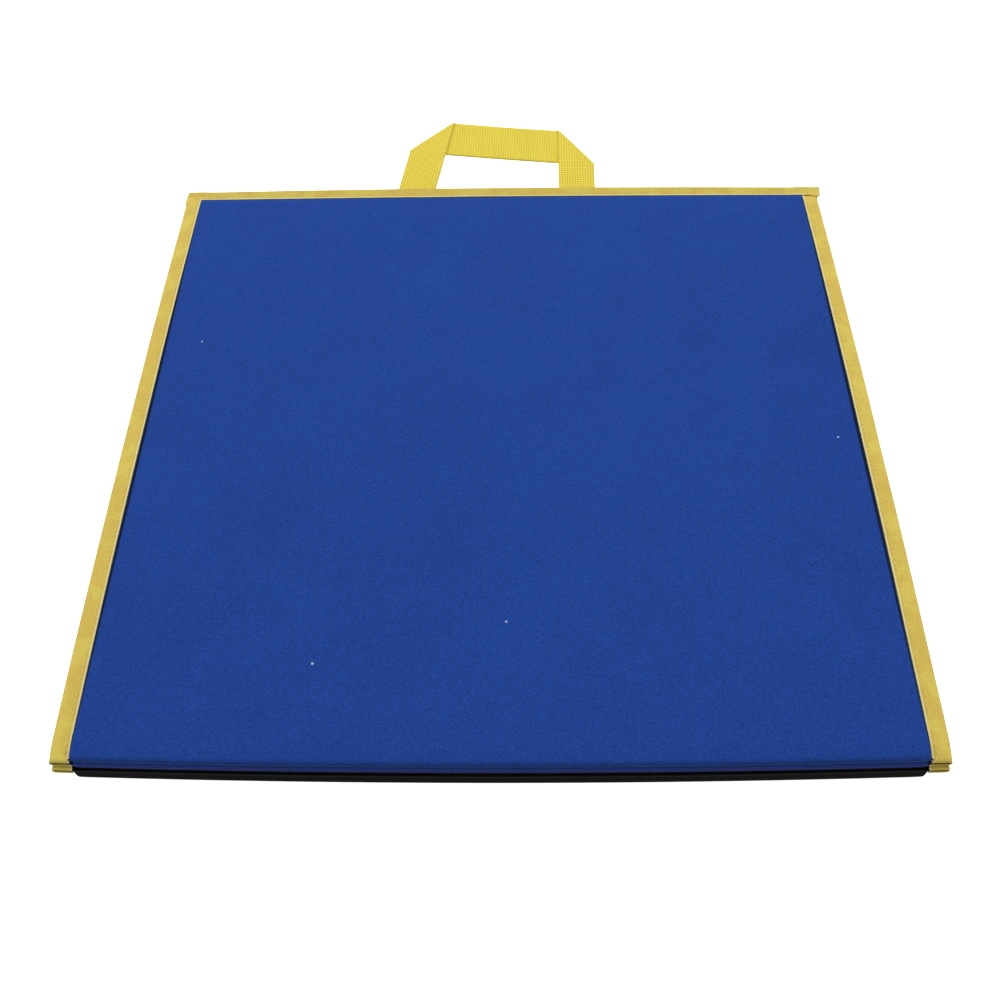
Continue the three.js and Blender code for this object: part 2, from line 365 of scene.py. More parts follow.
feltShared = {
    "fluffScale": 1000.0,
    "fibreScale": 800.0,
    "fuzzScale": 1500.0,
    "cloudScale": 22.0,
    "fluffEdge": (0.48, 0.8),
    "depth": 0.35 * mm,
    "specular": 0.04,
}
feltBlue = {
    **feltShared,
    "colour": (0.0130, 0.0500, 0.267, 1),
    "fluff": (0.062, 0.124, 0.32, 1),
    "fluffShare": 0.30,
    "fibreTone": 1.2,
    "fuzzTone": 1.0,
    "cloudTone": 0.22,
    "sheen": 0.15,
    "sheenTint": (0.2, 0.45, 1.0, 1),
    "paintedShadeTone": 0.68,                     # painted shade: the front wall is darker
    "paintedShadeFoot": (12.0 * mm, 12.8 * mm),
    "paintedShadeTop": (17.6 * mm, 19.2 * mm),
    "lip": (0.056, 0.072, 0.34, 1),       # painted highlight: the hem under it catches more light
    "paintedLipShare": 0.8,
    # painted shade: a near-black strip where the felt meets the tapes
    "creaseShadeSide": (shape["rollFoot"] - 1.8 * mm, shape["rollFoot"] - 1.1 * mm),
    "creaseShadeFar": (upper["rollEnd"] - 3.6 * mm, upper["rollEnd"] - 2.6 * mm),
    "creaseShadeColour": (0.004, 0.006, 0.02, 1),
    # Bits of lint, by place on the kneeling face.
    "lintShare": 0.75,
    "lint": [
        ((-0.0966, -0.172, 0), 0.9 * mm, (0.62, 0.66, 0.72, 1)),
        ((-0.190, 0.063, 0), 0.8 * mm, (0.5, 0.56, 0.66, 1)),
        ((0.004, -0.147, 0), 0.8 * mm, (0.6, 0.64, 0.7, 1)),
        ((0.2005, -0.020, 0), 0.8 * mm, (0.55, 0.6, 0.68, 1)),
        ((0.171, -0.112, 0), 0.8 * mm, (0.004, 0.006, 0.012, 1)),
        ((0.166, -0.192, 0), 0.7 * mm, (0.004, 0.006, 0.012, 1)),
    ],
}
feltBlack = {
    **feltShared,
    "colour": (0.0044, 0.0043, 0.0052, 1),
    "fluff": (0.02, 0.02, 0.023, 1),
    "fluffShare": 0.12,
    "fibreTone": 0.8,
    "fuzzTone": 0.6,
    "cloudTone": 0.2,
    "sheen": 0.008,
    "sheenTint": (0.8, 0.8, 0.9, 1),
}


liningLook = {"colour": (0.036, 0.038, 0.043, 1), "threadPitch": 0.9 * mm, "depth": 0.12 * mm}


def liningFinish():
    cloth = Finish("lining cloth")
    place = cloth.place()
    turns = 2 * math.pi / liningLook["threadPitch"]
    across = cloth.node("ShaderNodeSeparateXYZ", None, {0: place}, "X") * turns
    along = cloth.node("ShaderNodeSeparateXYZ", None, {0: place}, "Y") * turns
    weave = across.sine() * along.sine()
    slub = cloth.grain(cloth.stretched(place, (1.0, 0.12, 1.0)), 700.0, 2.0)
    cloud = cloth.grain(place, 18.0)
    tone = 1 + weave * 0.25 + (slub - 0.5) * 0.5 + (cloud - 0.5) * 0.3
    colour = cloth.shaded(liningLook["colour"], tone)
    relief = weave * 0.5 + slub
    return cloth.finished(colour, 0.92, relief, liningLook["depth"], sheenWeight=0.05, specularIorLevel=0.2)


foamLook = {"colour": (0.3, 0.31, 0.32, 1), "cellScale": 1400.0, "depth": 0.15 * mm}


def foamFinish():
    foam = Finish("closed-cell foam")
    place = foam.place()
    cells = foam.node("ShaderNodeTexVoronoi", None, {"Vector": place, "Scale": foamLook["cellScale"]})
    colour = foam.shaded(foamLook["colour"], 0.85 + cells * 0.4)
    return foam.finished(colour, 0.85, cells, foamLook["depth"], specularIorLevel=0.3)


tapeLook = {"leg": halfWidth - tapeInner, "fold": 1.6 * mm, "sag": 0.16 * mm, "stitchIn": 2.4 * mm}
bindingLook = {
    "colour": (0.68, 0.50, 0.092, 1),
    "patch": (0.70, 0.565, 0.105, 1),      # where the dye took differently
    "edge": (0.90, 0.82, 0.42, 1),       # painted highlight: the selvage catches the light
    "edgeWidth": 0.95 * mm,
    "threadPitch": 0.5 * mm,
    "depth": 0.12 * mm,
}


def bindingFinish(look):
    tape = Finish("binding tape")
    run, across = tape.strip("X"), tape.strip("Y")
    turns = 2 * math.pi / look["threadPitch"]
    weave = (run * turns).sine() * (across * turns).sine()
    spread = tape.node("ShaderNodeCombineXYZ", None, {"X": run, "Y": across})
    streak = tape.grain(tape.stretched(spread, (1.0, 14.0, 1.0)), 120.0, 3.0)
    cloud = tape.grain(tape.place(), 60.0, 3.0)
    patch = cloud.step(0.45, 0.62)
    colour = tape.blendOf(patch, look["colour"], look["patch"])
    colour = tape.shaded(colour, 1 + weave * 0.07 + (streak - 0.5) * 0.3 + (cloud - 0.5) * 0.14)
    fromEdge = tapeLook["leg"] - (across - tapeLook["leg"]).size()
    aside = tape.node("ShaderNodeSeparateXYZ", None, {0: tape.place()}, "X").size()
    along = tape.node("ShaderNodeSeparateXYZ", None, {0: tape.place()}, "Y")
    overSide = aside.step(tapeInner + 1.4 * mm, tapeInner + 3 * mm)
    overSide = overSide * along.step(foldY - 9 * mm, foldY - 7 * mm)
    # Painted highlight: the tape's inner edge is blended toward pale cream, except where it lies over the
    # side tapes.
    selvageHighlight = (1 - fromEdge.step(look["edgeWidth"] * 0.7, look["edgeWidth"])) * (1 - overSide)
    colour = tape.blendOf(selvageHighlight * 0.85, colour, look["edge"])
    # Painted shade: the hinge tape along the fold is made 15% darker than the side tapes.
    colour = tape.shaded(colour, 1 - along.step(foldY - 1 * mm, foldY + 2 * mm) * 0.15)
    relief = weave * 0.4 + streak
    return tape.finished(
        colour, 0.86, relief, look["depth"], sheenWeight=0.1, sheenRoughness=0.4, specularIorLevel=0.25,
    )


webbingLook = {
    "colour": (0.90, 0.735, 0.062, 1),
    # painted shade in the weave's dips
    "deep": (0.60, 0.43, 0.022, 1),
    "ribPitch": 1.85 * mm,
    "diamondPitch": 3.0 * mm,
    "depth": 0.35 * mm,
}


def webbingFinish(name, look, ribbed):
    web = Finish(name)
    run, across = web.strip("X"), web.strip("Y")
    if ribbed:
        turns = 2 * math.pi / look["ribPitch"]
        raised = (run * turns).sine() * 0.5 + 0.5
        picks = (across * (2 * math.pi / (0.8 * mm))).sine() * 0.12
        relief = raised + picks
    else:
        turns = 2 * math.pi / look["diamondPitch"]
        rising = (run * turns + across * turns * 0.8).sine()
        falling = (run * turns - across * turns * 0.8).sine()
        relief = rising * falling * 0.5 + 0.5
    spread = web.node("ShaderNodeCombineXYZ", None, {"X": run, "Y": across})
    fibre = web.grain(web.stretched(spread, (3.0, 1.0, 1.0)), 900.0, 2.0)
    cloud = web.grain(spread, 60.0, 2.0)
    # Painted shade: the weave's dips are blended toward a darker yellow.
    dipShade = 1 - relief.step(0.05, 0.75)
    colour = web.blendOf(dipShade * (0.5 if ribbed else 0.9), look["colour"], look["deep"])
    colour = web.shaded(colour, 1 + (fibre - 0.5) * 0.25 + (cloud - 0.5) * 0.12)
    relief = relief + fibre * 0.3
    return web.finished(colour, 0.55, relief, look["depth"], sheenWeight=0.12, specularIorLevel=0.35)


def threadFinish(name, colour):
    thread = Finish(name)
    ply = thread.grain(thread.place(), 3200.0, 2.0)
    tone = thread.shaded(colour, 0.8 + ply * 0.4)
    return thread.finished(tone, 0.6, ply, 0.1 * mm, specularIorLevel=0.12)


finishes = {
    "blue": feltFinish("blue felt", feltBlue),
    "black": feltFinish("black felt", feltBlack),
    "lining": liningFinish(),
    "foam": foamFinish(),
    "binding": bindingFinish(bindingLook),
    "webFront": webbingFinish("webbing front", webbingLook, False),
    "webBack": webbingFinish("webbing back", webbingLook, True),
    "paleThread": threadFinish("pale thread", (0.78, 0.63, 0.20, 1)),
    "blueThread": threadFinish("blue thread", (0.022, 0.046, 0.22, 1)),
    "blackThread": threadFinish("black thread", (0.006, 0.006, 0.007, 1)),
}
print("finishes made:", len(finishes))


# The cover's front wall, from its foot up over the rounded edge: how far in from the front, in
# millimetres, and the height share.
frontProfile = [
    (0.45, 0.000), (0.06, 0.030), (0.00, 0.080), (0.25, 0.140), (0.95, 0.200), (1.40, 0.270),
    (1.30, 0.360), (0.80, 0.480), (0.35, 0.600), (0.10, 0.700), (0.25, 0.800), (0.75, 0.885),
    (1.60, 0.950), (2.80, 0.985), (4.40, 1.000), (6.50, 1.000),
]
pressing = {
    "pressure": 4.0,
    "frames": 20,
    "cap": 0.6 * mm,
    "mass": 0.02,
    "tension": 6.0,
    "bending": 2.0,
    "quality": 5,
    "step": 5.6 * mm,
}


def rollColumns(panel):
    # Where the columns lie across the pad, and how much of the full rise each has.
    start = shape["rollFoot"] - panel["sideRoll"]
    flat = np.linspace(0, start - 1.3 * mm, round(start / pressing["step"]) + 1)
    flat = np.append(flat, start)  # a close pair keeps the edge from being smoothed away
    angle = np.linspace(0, math.pi / 2, 8)[1:]
    roll = start + panel["sideRoll"] * np.sin(angle)
    margin = shape["rollFoot"] + np.array([1.2, 3.0, 6.0]) * mm
    right = np.concatenate([flat, roll, margin, [shape["marginSide"]]])
    rise = np.concatenate([np.ones(len(flat)), np.cos(angle), np.zeros(4)])
    return np.concatenate([-right[:0:-1], right]), np.concatenate([rise[:0:-1], rise])


def setBack(panel, x, y):
    inTape = ease(shape["rollFoot"] - 3 * mm, shape["rollFoot"] + 1 * mm, np.abs(x))
    nearFront = 1 - ease(-halfDepth + 3 * mm, -halfDepth + 16 * mm, y)
    return (panel["tapeSetBack"] + panel["cornerIn"]) * inTape * nearFront


def coverSurface(panel):
    columns, rise = rollColumns(panel)
    wall = np.array(frontProfile)
    wall[3:10, 0] *= panel["groove"]
    wall[10:, 0] *= panel["frontRound"]
    start = -halfDepth + wall[-1, 0] * mm
    flat = np.linspace(start, panel["flatEnd"], round((panel["flatEnd"] - start) / pressing["step"]) + 1)[1:]
    angle = np.linspace(0, math.pi / 2, 9)[1:]
    roll = panel["flatEnd"] + (panel["rollEnd"] - panel["flatEnd"]) * np.sin(angle)
    margin = np.linspace(panel["rollEnd"], panel["marginEnd"], 5)[1:]
    rows = np.concatenate([-halfDepth + wall[:, 0] * mm, flat, roll, margin])
    share = np.concatenate([wall[:, 1], np.ones(len(flat) + 12)])
    far = np.concatenate([np.ones(len(wall) + len(flat)), np.cos(angle), np.zeros(4)])
    x, y = np.meshgrid(columns, rows)
    level = flangeLevel(y)
    both = np.cbrt((1 - rise[None, :]) ** 3 + (1 - far[:, None]) ** 3)
    top = level + (panel["thick"] - level) * np.clip(1 - both, 0, 1)
    lift = ease(shape["rollFoot"] - 4 * mm, shape["rollFoot"], np.abs(x))
    foot = (level - shape["felt"]) * lift
    height = foot + (top - foot) * share[:, None]
    # The margins stop short of the front, inside the tape's end, and the pad's corners are a little rounded.
    y = y + setBack(panel, x, y)
    pinned = (rise[None, :] < 0.6) | (share[:, None] < 0.97) | (far[:, None] < 0.6)
    pressedShare = mix(1.0, 0.4, ease(panel["rollEnd"] - 2.5 * mm, panel["rollEnd"] + 0.3 * mm, y))
    return world(panel, x, y, height), pinned, pressedShare


def fill(sheet, pinned, look):
    # The foam's push on the sewn cover: cloth held at its edges, blown out, then held to a small rise.
    scene = bpy.context.scene
    group = sheet.vertex_groups.new(name="held")
    for number, held in enumerate(pinned.ravel()):
        if held:
            group.add([number], 1.0, "REPLACE")
    before = np.array([v.co for v in sheet.data.vertices])
    cloth = sheet.modifiers.new("cloth", "CLOTH")
    cloth.settings.quality = look["quality"]
    cloth.settings.mass = look["mass"]
    cloth.settings.tension_stiffness = look["tension"]
    cloth.settings.compression_stiffness = look["tension"]
    cloth.settings.bending_stiffness = look["bending"]
    cloth.settings.vertex_group_mass = "held"
    cloth.settings.use_pressure = True
    cloth.settings.uniform_pressure_force = look["pressure"]
    cloth.settings.effector_weights.gravity = 0
    cloth.collision_settings.use_collision = False
    cloth.point_cache.frame_start, cloth.point_cache.frame_end = 1, look["frames"]
    for step in range(1, look["frames"] + 1):
        scene.frame_set(step)
    graph = bpy.context.evaluated_depsgraph_get()
    shown = sheet.evaluated_get(graph)
    after = np.array([v.co for v in shown.data.vertices])
    sheet.modifiers.remove(cloth)
    sheet.vertex_groups.clear()
    scene.frame_set(1)
    moved = after - before
    length = np.linalg.norm(moved, axis=1, keepdims=True)
    capped = moved / np.maximum(length, 1e-9) * look["cap"] * np.tanh(length / look["cap"])
    filled = before + capped
    filled[:, 2] = np.maximum(filled[:, 2], 0)  # the ground holds the lower cover flat
    sheet.data.vertices.foreach_set("co", filled.astype(np.float32).ravel())
    print(sheet.name, "filled, moved up to", round(float(length.max()) * 1000, 2), "mm before the cap")


def makeCover(panel, finish):
    points, pinned, pressedShare = coverSurface(panel)
    cover = sheetFrom(panel["name"] + "_felt_cover", points, flip=panel["turn"] < 0)
    fill(cover, pinned, pressing)
    thicken(cover, shape["felt"], share=pressedShare)
    paint(cover, finish)
    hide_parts(panel["name"] + "_cover", panel["name"] + "_hinge_flange")
    return cover


def makeLining(panel):
    front = -halfDepth + shape["felt"] + 0.5 * mm
    side = shape["rollFoot"] - 3.5 * mm
    margin = np.linspace(side, shape["marginSide"], 8)[1:]
    x = np.concatenate([-margin[::-1], np.linspace(-side, side, 56), margin])
    middle = np.linspace(front, foldY - 13 * mm, 60)
    y = np.concatenate([middle, np.linspace(foldY - 11.5 * mm, panel["marginEnd"], 10)])
    x, y = np.meshgrid(x, y)
    lift = ease(shape["rollFoot"] - 4 * mm, shape["rollFoot"], np.abs(x))
    atHinge = ease(foldY - 8 * mm, foldY - 1.5 * mm, y)
    flat = (flangeLevel(y) - shape["felt"] - shape["lining"]) * lift * (1 - atHinge)
    inside = 1 - ease(side - 10 * mm, side - 2 * mm, np.abs(x))
    slack = 0.15 * mm * (1 + waves(x, y, 24.0, 3.0 + panel["turn"])) * inside
    height = flat + slack * (1 - ease(foldY - 13 * mm, foldY - 5 * mm, y))
    y = y + setBack(panel, x, y)
    lining = sheetFrom(panel["name"] + "_inner_cloth", world(panel, x, y, height), flip=panel["turn"] > 0)
    pressedShare = mix(1.0, 0.45, ease(foldY - 9 * mm, foldY - 1.5 * mm, y))
    thicken(lining, shape["lining"], share=pressedShare, rounds=0)
    paint(lining, finishes["lining"])
    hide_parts(panel["name"] + "_lining")
    return lining


def makeFoam(panel):
    # A slab a little smaller than the cover's inside, softened at its edges.
    low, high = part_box(panel["name"] + "_foam")
    x = np.linspace(low.x, high.x, 40)
    y = np.linspace(low.y + 0.6 * mm, min(high.y, panel["flatEnd"] + 3 * mm), 40)
    x, y = np.meshgrid(x, y)
    room = panel["thick"] - shape["felt"] - 2 * shape["clear"]
    rounding = high.x - 5 * mm
    side = np.clip((np.abs(x) - rounding) / (high.x - rounding), 0, 1)
    end = np.clip((y - panel["flatEnd"] + 3 * mm) / (6 * mm), 0, 1)
    near = np.clip((-halfDepth + 6 * mm - y) / (4 * mm), 0, 1)
    edge = np.sqrt(np.clip(1 - side**2, 0, 1)) * (1 - 0.45 * end**2) * (1 - 0.25 * near**2)
    foot = shape["lining"] + shape["clear"]
    top = foot + 0.5 * mm + (room - foot - 0.5 * mm) * edge
    top = np.maximum(top, flangeLevel(y) - shape["felt"])
    foam = sheetFrom(panel["name"] + "_foam_core", world(panel, x, y, top), flip=panel["turn"] < 0)
    bottom = sheetFrom("foot", world(panel, x, y, foot + 0 * x), flip=panel["turn"] > 0)
    return closeBetween(foam, bottom, x.shape)


def closeBetween(topSheet, bottomSheet, size):
    # Joins two matching sheets round their rims into one closed body.
    rows, columns = size
    count = rows * columns
    top = [tuple(v.co) for v in topSheet.data.vertices]
    bottom = [tuple(v.co) for v in bottomSheet.data.vertices]
    faces = [tuple(p.vertices) for p in topSheet.data.polygons]
    faces += [tuple(count + v for v in p.vertices) for p in bottomSheet.data.polygons]
    index = np.arange(count).reshape(size)
    rim = list(index[0, :]) + list(index[1:, -1]) + list(index[-1, -2::-1]) + list(index[-2:0:-1, 0])
    turned = faces[0][0] == index[0, 0] and faces[0][1] == index[0, 1]
    for a, b in zip(rim, rim[1:] + rim[:1]):
        quad = (a, count + a, count + b, b)
        faces.append(tuple(int(v) for v in (quad if turned else quad[::-1])))
    mesh = bpy.data.meshes.new(topSheet.name)
    mesh.from_pydata(top + bottom, [], faces)
    topSheet.data = mesh
    bpy.data.objects.remove(bottomSheet)
    return topSheet


def tapeProfile():
    # Across the tape from its lower inner edge, round the fold, to its upper inner edge:
    # the distance out from the inner edge, the height share, and the running width.
    width = 2 * tapeLook["leg"]
    reach = tapeLook["leg"] - tapeLook["fold"] - shape["tape"] / 2
    angle = np.linspace(-math.pi / 2, math.pi / 2, 9)
    leg = np.array([0, 0.7, 1.6, 2.4, 3.2, 4.6, 6.4]) * mm
    out = np.concatenate([leg, reach + tapeLook["fold"] * np.cos(angle), leg[::-1]])
    share = np.concatenate([np.zeros(7), (np.sin(angle) + 1) / 2, np.ones(7)])
    span = np.concatenate([leg, reach + (width - 2 * reach) * (angle / math.pi + 0.5), width - leg[::-1]])
    return out, share, span


def stitchDip(out):
    return tapeLook["sag"] * np.exp(-(((out - tapeLook["stitchIn"]) / (0.9 * mm)) ** 2))


def sideTapeSurface(panel, side, y, out, share):
    # The tape lies on the pressed margin, dips at its stitches and wanders a little.
    level = flangeLevel(y) + shape["clear"] + shape["tape"] / 2
    foot = shape["tape"] / 2
    height = foot + (level - foot) * share
    lift = 0.22 * mm * np.exp(-((out / (0.8 * mm)) ** 2))
    seed = 11.0 + side + 5 * panel["turn"]
    drift = 0.22 * mm * waves(y, 0 * y, 16.0, seed) * (1 - ease(foldY - 18 * mm, foldY - 6 * mm, y))
    ripple = 0.10 * mm * waves(y, out, 110.0, seed + 2)
    height = height + (lift - stitchDip(out) + ripple) * share
    return world(panel, side * (tapeInner + out + drift), y, height)


def makeSideTape(panel, side):
    word = "right" if side > 0 else "left"
    out, share, span = tapeProfile()
    front = -halfDepth + panel["tapeSetBack"]
    end = panel["marginEnd"] + (0.6 * mm if panel["turn"] < 0 else 0)
    y = np.concatenate([np.linspace(front, foldY - 17 * mm, 96), np.linspace(foldY - 14.5 * mm, end, 11)])
    yy, oo = np.meshgrid(y, out, indexing="ij")
    points = sideTapeSurface(panel, side, yy, oo, share[None, :] + 0 * yy)
    uv = np.stack([yy + 0.3, span[None, :] + 0 * yy], -1)
    flip = (side > 0) != (panel["turn"] < 0)
    tape = sheetFrom(panel["name"] + "_" + word + "_binding", points, uv, flip=flip)
    thicken(tape, shape["tape"], offset=0)
    paint(tape, finishes["binding"])
    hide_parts(panel["name"] + "_" + word + "_tape")
    return tape


hingeLook = {
    "overLeft": 0.6 * mm,
    "overRight": 4.2 * mm,
    "rightSkew": 2.2 * mm,  # the right end is cut aslant
    "leg": 10.0 * mm,
    "farBow": 0.95 * mm,
    "endIn": 1.7 * mm,      # the ends lie further in than the middle
    "mitres": (7.0 * mm, 3.0 * mm),  # and are folded over the side tapes, aslant, the left one more
    "above": 2.5 * mm,      # mid-thickness above the fold line
    "below": 2.0 * mm,      # and below it, over the handle's ends
    "ends": 2.95 * mm,      # the same where it lies over the side tapes
    "flutter": 0.14 * mm,
}


def hingeTapeSurface(x, out, share):
    leg = tapeLook["leg"]
    across = np.clip(1 - (x / halfWidth) ** 2, 0, 1)
    atSide = ease(tapeInner - 6.5 * mm, tapeInner + 0.5 * mm, np.abs(x))
    above = mix(hingeLook["above"], hingeLook["ends"], atSide)
    below = mix(hingeLook["below"], hingeLook["ends"], atSide)
    mouth = foldY - hingeLook["endIn"] * (1 - across)
    wide = (hingeLook["leg"] + hingeLook["farBow"] * across) / leg
    pastSide = np.clip((np.abs(x) - tapeInner) / leg, 0, 1.2) * share * np.clip(1 - out / (0.7 * leg), 0, 1)
    slanted = np.where(x < 0, *hingeLook["mitres"]) * pastSide
    y = mouth + out * wide - slanted
    flutter = hingeLook["flutter"] * waves(x, 0 * x, 30.0, 31.0) * np.exp(-((out / (4 * mm)) ** 2))
    lift = 0.15 * mm * np.exp(-((out / (0.8 * mm)) ** 2))
    # The right end lifts where it is cut; the left end is pulled into a slanting crease.
    atCut = np.exp(-(((x - halfWidth + 5.5 * mm) / (3.2 * mm)) ** 2))
    wave = 0.4 * mm * atCut * np.exp(-((out / (5 * mm)) ** 2))
    slant = (x + halfWidth + 1.5 * mm) - (leg - out) * 0.9
    crease = 0.4 * mm * np.exp(-((slant / (1.1 * mm)) ** 2)) * (x < -tapeInner)
    over = pastSide * 1.3 * mm  # it rides up on the side tape there
    relief = flutter + lift - stitchDip(out) + wave - crease + over
    z = foldZ - below + (above + below) * share + share * relief
    atRight = ease(tapeInner, halfWidth + 4 * mm, x)
    skewed = x - hingeLook["rightSkew"] * (1 - np.clip(out / leg, 0, 1)) * atRight
    return np.stack(np.broadcast_arrays(skewed, y, z), -1)


def makeHingeTape():
    out, share, span = tapeProfile()
    left = np.linspace(tapeInner - 6.5 * mm, halfWidth + hingeLook["overLeft"], 19)
    right = np.linspace(tapeInner - 6.5 * mm, halfWidth + hingeLook["overRight"], 21)
    x = np.concatenate([-left[::-1], np.linspace(-left[0], right[0], 104)[1:-1], right])
    xx, oo = np.meshgrid(x, out, indexing="ij")
    points = hingeTapeSurface(xx, oo, share[None, :] + 0 * xx)
    uv = np.stack([xx + 0.3, span[None, :] + 0 * xx], -1)
    tape = sheetFrom("hinge_binding", points, uv)
    thicken(tape, shape["tape"], offset=0)
    paint(tape, finishes["binding"])
    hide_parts("hinge_tape")
    return tape


strapLook = {
    "leftLean": 14.0,
    "rightLean": 0.6,
    "wide": 1.04,
    "gripReach": 28.8 * mm,
    "gripSlope": -5.2,
    "tilt": 23.0,
    "aside": (2.0 * mm, 1.3 * mm),  # the legs are sewn on a little to the right
    "thick": 1.1 * mm,
    "layer": 1.15 * mm,     # the grip lies this far behind the legs
    "tab": 9.5 * mm,
    "columns": 13,
}


def direction(degrees):
    return np.array([math.cos(math.radians(degrees)), math.sin(math.radians(degrees))])


def meet(a, angleA, b, angleB):
    toA, toB = direction(angleA), direction(angleB)
    between = b - a
    cross = toA[0] * toB[1] - toA[1] * toB[0]
    return a + toA * (between[0] * toB[1] - between[1] * toB[0]) / cross


def strapPlane(flat, back):
    # Bends the flat strap up at the swing line: flat is (x, distance from the line), and back is how
    # far behind the strap the point lies.
    fine = np.linspace(-0.02, 0.12, 1401)
    slope = math.radians(strapLook["tilt"]) * ease(-0.8 * mm, 2.2 * mm, fine)
    gap = fine[1] - fine[0]
    along = np.cumsum(np.cos(slope)) * gap
    above = np.cumsum(np.sin(slope)) * gap
    along -= np.interp(0, fine, along)
    above -= np.interp(-0.002, fine, above)
    y, z, turn = (np.interp(flat[..., 1], fine, values) for values in (along, above, slope))
    level = swingLine.z + z - back * np.cos(turn)
    return np.stack([flat[..., 0], swingLine.y + y + back * np.sin(turn), level], -1)


def makeStrap():
    tabs = [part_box(f"handle_{side}_tab") for side in ("left", "right")]
    width = (tabs[0][1].x - tabs[0][0].x) * strapLook["wide"]
    roots = [(low.x + high.x) / 2 for low, high in tabs]
    leans = [90 - strapLook["leftLean"], 90 + strapLook["rightLean"]]
    slope = strapLook["gripSlope"]
    nearLine = np.array([0, strapLook["gripReach"]])
    farLine = nearLine + [0, width / math.cos(math.radians(slope))]
    share = np.linspace(0, 1, strapLook["columns"])
    legs = []
    for root, aside, angle, outside in zip(roots, strapLook["aside"], leans, (-1, 1)):
        ahead = direction(angle)
        inwards = direction(angle - 90) * -outside
        foot = np.array([root + aside, 0.0])
        outer, inner = foot - inwards * width / 2, foot + inwards * width / 2
        folds = [meet(outer, angle, nearLine, slope), meet(inner, angle, farLine, slope)]
        legs.append({"ahead": ahead, "edges": [outer, inner], "folds": folds})
    grid, uvRows = [], []
    across = share * width

    def addRow(points, back, run):
        grid.append(strapPlane(points, back))
        uvRows.append(np.stack([run + 0 * across, across], -1))

    def edgeRow(pair):
        return pair[0][None, :] + (pair[1] - pair[0])[None, :] * share[:, None]

    def legRows(leg, reverse, runStart):
        ends = [edge - leg["ahead"] * strapLook["tab"] for edge in leg["edges"]]
        first, last = edgeRow(ends), edgeRow(leg["folds"])
        distance = (last - first) @ leg["ahead"]
        steps = np.linspace(0, 1, 38)
        for step in (steps[::-1] if reverse else steps):
            run = runStart + (distance * (1 - step) if reverse else distance * step)
            addRow(first + (last - first) * step, 0 * across, run)
        return runStart + distance

    def foldRows(leg, runStart, reverse):
        line = leg["folds"][1] - leg["folds"][0]
        line = line / np.linalg.norm(line)
        outwards = np.array([-line[1], line[0]])
        if outwards[1] < 0:
            outwards = -outwards
        radius = strapLook["layer"] / 2
        bulge = 0.15 + 0.85 * ease(0, 0.12, share) * ease(0, 0.12, 1 - share)  # less at the pointed corners
        angles = np.linspace(0, math.pi, 9)[1:-1]
        for angle in (angles[::-1] if reverse else angles):
            turned = math.pi - angle if reverse else angle
            points = edgeRow(leg["folds"]) + outwards[None, :] * radius * math.sin(angle) * bulge[:, None]
            addRow(points, radius * (1 - math.cos(angle)) + 0 * across, runStart + radius * turned)
        return runStart + radius * math.pi

    run = legRows(legs[0], False, 0 * across)
    run = foldRows(legs[0], run, False)
    start, end = edgeRow(legs[0]["folds"]), edgeRow(legs[1]["folds"])
    gripLength = (end - start) @ direction(slope)
    for step in np.linspace(0, 1, 40):
        points = start + (end - start) * step
        bow = 0.5 * mm * math.sin(math.pi * step)
        addRow(points, strapLook["layer"] + bow + 0 * across, run + gripLength * step)
    run = foldRows(legs[1], run + gripLength, True)
    legRows(legs[1], True, run)
    points = np.array(grid)
    strap = sheetFrom("webbing_handle", points, np.array(uvRows))
    paint(strap, finishes["webFront"], finishes["webBack"])
    thicken(strap, strapLook["thick"], offset=0, backFinish=1)
    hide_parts("handle_strap", "handle_left_tab", "handle_right_tab")
    return strap, legs


